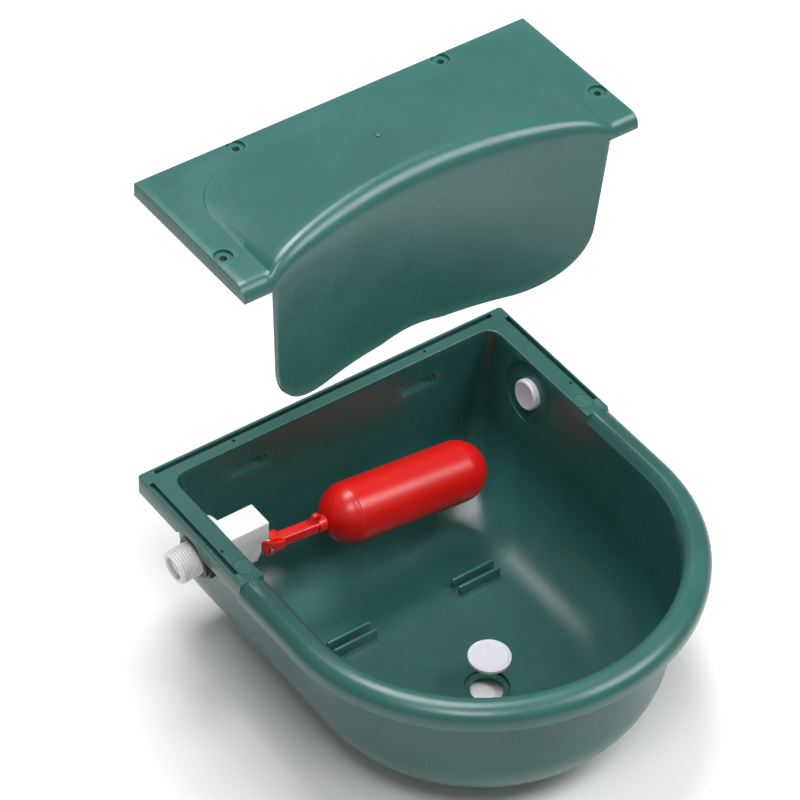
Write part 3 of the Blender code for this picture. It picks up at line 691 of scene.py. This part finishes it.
def build_cover(mat):
    cover = place(cover_sheet(), (0, 0, COVER_Z))
    bottom = COVER_Z - COVER_TOP
    pieces = []
    holes = []
    for side in (-1, 1):
        xs = sorted((side * (GROOVE_X - 1.1), side * (GROOVE_X + 1.1)))
        pieces.append(box("tongue", (xs[0], -95.0, bottom - 2.8), (xs[1], -11.0, COVER_Z - 1.0)))
        for x, y in (SIDE_SCREW, BACK_SCREW):
            boss = rod("boss", 5.0, 0.4 - COVER_TOP, -1.0, 40)
            pieces.append(place(boss, (side * x, y, COVER_Z)))
            profile = [(0, 3.0), (5.6, 3.0), (5.3, -0.2), (5.1, -1.6), (2.2, -1.6), (2.2, -15.0), (0, -15.0)]
            holes.append(place(turned("hole", profile, 48), (side * x, y, COVER_Z), (0, 0, 4 - side)))
    low = (-119.0, -GROOVE_Y - 1.1, bottom - 2.8)
    pieces.append(box("tongue", low, (119.0, -GROOVE_Y + 1.1, COVER_Z - 1.0)))
    gate_mark = soften(rod("gate_mark", 1.6, 3.0, 6.5, 24), 0.3)
    pieces.append(place(gate_mark, (*GATE_MARK, COVER_Z)))
    add(cover, pieces, "MANIFOLD")
    cut(cover, holes, "MANIFOLD")
    return finish_piece(cover, mat, "cover", ["cover"])


# ---------------------------------------------------------------- plugs

def build_plugs(mat):
    profile = [(0, -6.8), (8.2, -6.8), (9.5, -2.1), (12.2, -2.1), (12.8, -1.5), (12.8, 0.5), (12.3, 0.9)]
    profile += [(11.7, 0.55), (10.6, 0.1), (1.2, -0.9), (0, -0.9)]
    drain = place(turned("drain_plug_body", rounded(profile, 0.35), 96), (0, DRAIN_Y, FLOOR_Z + DRAIN_LIFT))
    finish_piece(drain, mat, "drain_plug", ["drain_plug"])
    outside = -WALL - PAD_OUT - 0.3
    tip = PAD_IN + 4.2
    profile = [(0, outside - 3.0), (12.4, outside - 3.0), (13.2, outside - 2.2), (13.2, outside)]
    profile += [(9.8, outside), (9.8, tip - 1.4), (9.4, tip - 0.5)]
    profile += [(8.5, tip), (7.2, tip - 0.3), (0, tip - 0.9)]
    side = place(turned("side_plug_body", rounded(profile, 0.4), 96), (PORT_X, PORT_Y, PORT_Z), port_turn(1))
    finish_piece(side, mat, "side_plug", ["side_plug"])


# ---------------------------------------------------------------- float valve

PORT_POINT = (-PORT_X, PORT_Y, PORT_Z)
PORT_TURN = (0, 90 - SIDE_DRAFT, 0)


def thread_radius(height, turn):
    """A truncated thread along a helix, which fades out at the nipple's end and before the wall."""
    phase = (height / THREAD_PITCH - turn / (2 * math.pi)) % 1.0
    ridge = max(0.0, min(1.0, 1.9 - 4.2 * abs(phase - 0.5)))
    fade = max(0.0, min(1.0, (height - NIPPLE_END - 0.4) / 1.2)) * max(0.0, min(1.0, (-5.0 - height) / 1.0))
    return THREAD_ROOT + (THREAD_TOP - THREAD_ROOT) * ridge * fade


def nipple():
    segments, bore = 72, 7.0
    heights = [NIPPLE_END + 0.25 * k for k in range(99)]
    top = FLANGE_FACE + 2.6
    points, faces = [], []

    def ring(radii, height):
        for k in range(segments):
            turn = 2 * math.pi * k / segments
            radius = radii(height, turn) if callable(radii) else radii
            points.append((radius * math.cos(turn), radius * math.sin(turn), height))

    ring(bore, -6.0)
    ring(bore, NIPPLE_END + 0.4)
    ring(bore + 0.4, NIPPLE_END)
    ring(THREAD_ROOT - 0.5, NIPPLE_END)
    for height in heights[1:]:
        ring(thread_radius, height)
    flange = [(THREAD_ROOT + 0.6, FLANGE_FACE), (17.1, FLANGE_FACE), (17.5, FLANGE_FACE + 0.4)]
    flange += [(17.5, top - 0.6), (17.3, top - 0.15), (16.9, top), (JET_BORE, top), (JET_BORE, -6.0)]
    for radius, height in flange:
        ring(radius, height)
    count = len(points) // segments
    for i in range(count):
        j = (i + 1) % count
        for k in range(segments):
            n = (k + 1) % segments
            faces.append((i * segments + k, i * segments + n, j * segments + n, j * segments + k))
    return place(new_object("valve_housing", points, faces), PORT_POINT, PORT_TURN)


def hood():
    outline = [(-108.5, HOOD_TOP - 26.5), (-88.5, HOOD_TOP - 27.5), (-86.0, HOOD_TOP - 21.0)]
    outline += [(-86.0, HOOD_TOP - 14.0), (-81.0, HOOD_TOP - 14.0), (-81.0, HOOD_TOP), (-108.5, HOOD_TOP)]
    block = soften(extruded("hood", outline, PORT_Y - 9.0, PORT_Y + 9.0), 0.7, 3)
    cavity = [(-104.6, HOOD_TOP - 40.5), (-88.0, HOOD_TOP - 40.5), (-83.6, HOOD_TOP - 20.5)]
    cavity += [(-83.6, HOOD_TOP - 2.6), (-104.6, HOOD_TOP - 2.6)]
    cut(block, [extruded("cavity", cavity, PORT_Y - 6.6, PORT_Y + 6.6)])
    lug = [(-106.5, PIVOT.z + 7.0), (-106.5, PIVOT.z - 5.5), (PIVOT.x, PIVOT.z - 4.2)]
    lug += arc((PIVOT.x, PIVOT.z), 4.2, -70, 90, 20) + [(-84.0, PIVOT.z + 7.0)]
    add(block, [soften(extruded("lug", lug, PORT_Y - 2.4, PORT_Y + 2.4), 0.3)])
    return block


def build_valve(mat):
    body = add(nipple(), [hood()])
    through = place(rod("bore", JET_BORE, -8.0, 12.0, 48), PORT_POINT, PORT_TURN)
    cut(body, [through, place(rod("pin_hole", PIN_HOLE, -10, 10, 32), PIVOT, (90, 0, 0))])
    return finish_piece(body, mat, "bowl", ["valve_body"])


def build_fixings(mat):
    outside = -(WALL + PAD_OUT + 0.3)
    profile = [(10.9, outside - 2.5), (18.0, outside - 2.5), (18.0, outside), (10.9, outside)]
    washer = turned("outer_washer_body", rounded_ring(profile, 0.6), 96, closed=True)
    finish_piece(place(washer, PORT_POINT, PORT_TURN), mat, "bowl", ["outer_washer"])
    inner = outside - 2.5 - 0.3
    outer = inner - 8.5
    profile = [(10.8, outer), (13.2, outer), (13.2, inner), (10.8, inner)]
    nut = turned("lock_nut_body", rounded_ring(profile, 0.5), 96, closed=True)
    section = [(12.4, outer + 2.0), (15.7, outer + 2.0), (15.7, inner - 0.4), (12.4, inner - 0.4)]
    hexagon = soften(turned("hexagon", section, 6, closed=True), 0.5, 2, 50)
    add(nut, [hexagon])
    finish_piece(place(nut, PORT_POINT, PORT_TURN), mat, "bowl", ["lock_nut"])


def to_lever(obj):
    """Move a piece from the lever's own frame, +X towards the float, to its place."""
    return place(obj, PIVOT, (0, DROOP, 0))


def lever():
    section = [(5.4, -3.8), (39.0, -3.8), (39.0, 3.8), (7.4, 3.8)]
    arm = soften(extruded("lever_body", section, -4.0, 4.0), 1.8, 4)
    for side in (-1, 1):
        near, far = sorted((side * 3.0, side * 5.9))
        cheek = arc((0, 0), 4.2, 200, 330, 16) + [(9.5, -3.2), (9.5, 3.4), (3.0, 4.0), (-8.4, 9.0)]
        cheek += [(-10.9, 20.4), (-13.8, 20.4), (-12.6, 9.0)]
        add(arm, [soften(extruded("cheek", cheek, near, far), 0.4)])
    web = [(1.2, 4.8), (5.6, 2.0), (9.0, 2.0), (9.0, 3.7), (3.2, 5.5), (1.2, 5.7)]
    add(arm, [extruded("web", web, -3.2, 3.2)])
    add(arm, [place(rod("heel", 1.7, -5.8, 5.8, 24), (-12.0, 0, 18.6), (90, 0, 0))])
    end = FLOAT_START - 0.3
    profile = [(0, 35.4), (5.2, 35.4), (5.2, end), (3.0, end), (3.0, end + 8.0), (0, end + 8.0)]
    collar = place(turned("collar", rounded(profile, 0.5), 48), (0, 0, 0), (0, 90, 0))
    eye = [(27.5, 2.6), (31.5, 6.2)] + arc((34.5, 5.8), 3.2, 140, -20, 18) + [(38.0, 2.6)]
    add(arm, [soften(extruded("eye", eye, -1.5, 1.5), 0.35)])
    holes = [place(rod("pin_hole", PIN_HOLE, -12, 12, 32), (0, 0, 0), (90, 0, 0))]
    holes.append(place(rod("eye_hole", 1.3, -6, 6, 24), (34.5, 0, 6.0), (90, 0, 0)))
    return add(cut(arm, holes), [collar])


def dome(start, radius, steps, inwards):
    sign = 1 if inwards else -1
    base = start + sign * radius
    angles = [math.pi / 2 * k / steps for k in range(steps + 1)]
    return [(radius * math.sin(a), base - sign * radius * math.cos(a)) for a in angles]


def build_lever_and_float(mat):
    finish_piece(to_lever(lever()), mat, "lever", ["lever_arm"])
    cap_end = FLOAT_SEAM + 0.1
    edge = math.sqrt(FLOAT_RADIUS ** 2 - (FLOAT_START + FLOAT_RADIUS - cap_end) ** 2)
    outer = [p for p in dome(FLOAT_START, FLOAT_RADIUS, 40, True) if p[0] > 3.6 and p[1] < cap_end - 1.2]
    ridge = [(edge - 0.1, cap_end - 1.0), (edge + 0.15, cap_end - 0.6), (edge + 0.15, cap_end - 0.2)]
    loop = [(3.3, FLOAT_START + 0.3)] + outer + ridge + [(edge - 0.1, cap_end), (edge - FLOAT_WALL, cap_end)]
    inner = dome(FLOAT_START + FLOAT_WALL, FLOAT_RADIUS - FLOAT_WALL, 16, True)
    inner = [p for p in inner if p[0] > 5.3 and p[1] < cap_end - 1]
    loop += inner[::-1] + [(4.9, FLOAT_START + 3.0), (4.9, FLOAT_START + 9.0), (3.3, FLOAT_START + 9.0)]
    cap = place(turned("float_cap_body", loop, 96, closed=True), (0, 0, 0), (0, 90, 0))
    finish_piece(to_lever(cap), mat, "lever", ["float_cap"])
    start = FLOAT_SEAM + 0.3
    edge = math.sqrt(FLOAT_RADIUS ** 2 - (FLOAT_START + FLOAT_RADIUS - start) ** 2)
    near = [p for p in dome(FLOAT_START, FLOAT_RADIUS, 40, True) if p[1] > start + 0.7]
    far = dome(FLOAT_END, FLOAT_RADIUS, 36, False)[:0:-1]
    outside = [(edge - 0.25, start), (edge + 0.05, start + 0.35)] + near + far
    inside = dome(FLOAT_END - FLOAT_WALL, FLOAT_RADIUS - FLOAT_WALL, 12, False)[1:]
    inside += [(FLOAT_RADIUS - FLOAT_WALL, FLOAT_START + FLOAT_RADIUS), (edge - FLOAT_WALL, start)]
    profile = [(0, FLOAT_END)] + outside[::-1] + inside[::-1] + [(0, FLOAT_END - FLOAT_WALL)]
    shell = place(turned("float_shell_body", profile, 96), (0, 0, 0), (0, 90, 0))
    finish_piece(to_lever(shell), mat, "lever", ["float_shell"])


# ---------------------------------------------------------------- stage

def area_light(name, point, target, size, power, color=(1, 1, 1)):
    data = bpy.data.lights.new(name, "AREA")
    data.shape = "DISK"
    data.size = size
    data.energy = power
    data.color = color
    obj = bpy.data.objects.new(name, data)
    obj.location = point
    direction = Vector(target) - Vector(point)
    obj.rotation_euler = direction.to_track_quat("-Z", "Y").to_euler()
    bpy.context.scene.collection.objects.link(obj)


def build_stage():
    floor = box("floor", (-3000, -3000, BASE_Z - 5), (3000, 3000, BASE_Z - 0.1))
    mat = bpy.data.materials.new("pale_floor")
    nodes = Nodes(mat)
    tone = nodes.ramp(nodes.noise(3.0, 2.0), 0.3, 0.7, 0.0, 1.0)
    nodes.link(nodes.mix(tone, (0.82, 0.82, 0.82), (0.84, 0.84, 0.84)), nodes.shader.inputs["Base Color"])
    nodes.shader.inputs["Roughness"].default_value = 0.9
    floor.data.materials.append(mat)
    world = bpy.data.worlds.new("studio")
    bpy.context.scene.world = world
    world.use_nodes = True
    world.node_tree.nodes["Background"].inputs["Color"].default_value = (1, 1, 1, 1)
    world.node_tree.nodes["Background"].inputs["Strength"].default_value = 0.3
    area_light("key", (-0.5, -0.8, 1.7), (0, -0.1, 0), 0.7, 15.0)
    area_light("top", (0.1, 0.45, 1.8), (0, -0.1, 0), 0.9, 31.0)
    area_light("side", (0.8, -0.85, 1.3), (0, -0.1, 0.1), 0.8, 15.0)


def build_camera():
    bpy.context.scene.view_settings.view_transform = "Standard"
    data = bpy.data.cameras.new("camera")
    data.lens = 166.07
    data.sensor_width = 36.0
    data.clip_end = 20.0
    camera = bpy.data.objects.new("camera", data)
    right = Vector((0.80837, -0.58760, 0.03568))
    up = Vector((0.38337, 0.57147, 0.72556))
    back = right.cross(up)
    turn = Matrix((right, up, back)).transposed().to_4x4()
    camera.matrix_world = Matrix.Translation((-0.9325, -1.2690, 1.4829 + SEAT_Z * MM)) @ turn
    bpy.context.scene.collection.objects.link(camera)
    bpy.context.scene.camera = camera


def main():
    # Each look's paler colour is a painted edge highlight and also the colour of the scuff streaks.
    green = moulded("green_plastic_look", color=(0.025, 0.104, 0.092), highlight_and_scuff=(0.08, 0.20, 0.18),
                    dark=(0.021, 0.090, 0.080), roughness=0.27, specular=0.45)
    white = moulded("white_plastic_look", color=(0.70, 0.70, 0.69), highlight_and_scuff=(0.78, 0.78, 0.77),
                    dark=(0.64, 0.64, 0.62), roughness=0.34, grain=0.08, subsurface=0.15)
    red = moulded("red_plastic_look", color=(0.62, 0.006, 0.004), highlight_and_scuff=(0.72, 0.04, 0.03),
                  dark=(0.54, 0.005, 0.003), roughness=0.3, grain=0.05, subsurface=0.05)
    milky = moulded("milky_plastic_look", color=(0.70, 0.70, 0.76), highlight_and_scuff=(0.88, 0.88, 0.92),
                    dark=(0.62, 0.62, 0.68), roughness=0.30, grain=0.06, subsurface=0.25)
    black = moulded("black_plastic_look", color=(0.016, 0.013, 0.012), highlight_and_scuff=(0.06, 0.05, 0.05),
                    dark=(0.010, 0.008, 0.008), roughness=0.42)
    rubber = moulded("rubber_look", color=(0.03, 0.03, 0.03), highlight_and_scuff=(0.07, 0.07, 0.07),
                     dark=(0.02, 0.02, 0.02), roughness=0.65)
    steel = metal("steel_look", (0.62, 0.62, 0.62), 0.22)
    brass = metal("brass_look", (0.78, 0.55, 0.24), 0.24)
    kept = {"seat_nozzle": brass, "nozzle_o_ring": rubber, "inlet_strainer": white, "plunger": white,
            "plunger_seal": rubber, "pivot_pin": steel, "flange_gasket": rubber}
    for node, mat in kept.items():
        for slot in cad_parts[node].material_slots:
            slot.material = mat
    build_camera()
    build_bowl(green)
    build_cover(green)
    build_plugs(milky)
    build_valve(white)
    build_fixings(black)
    build_lever_and_float(red)
    build_stage()


main()
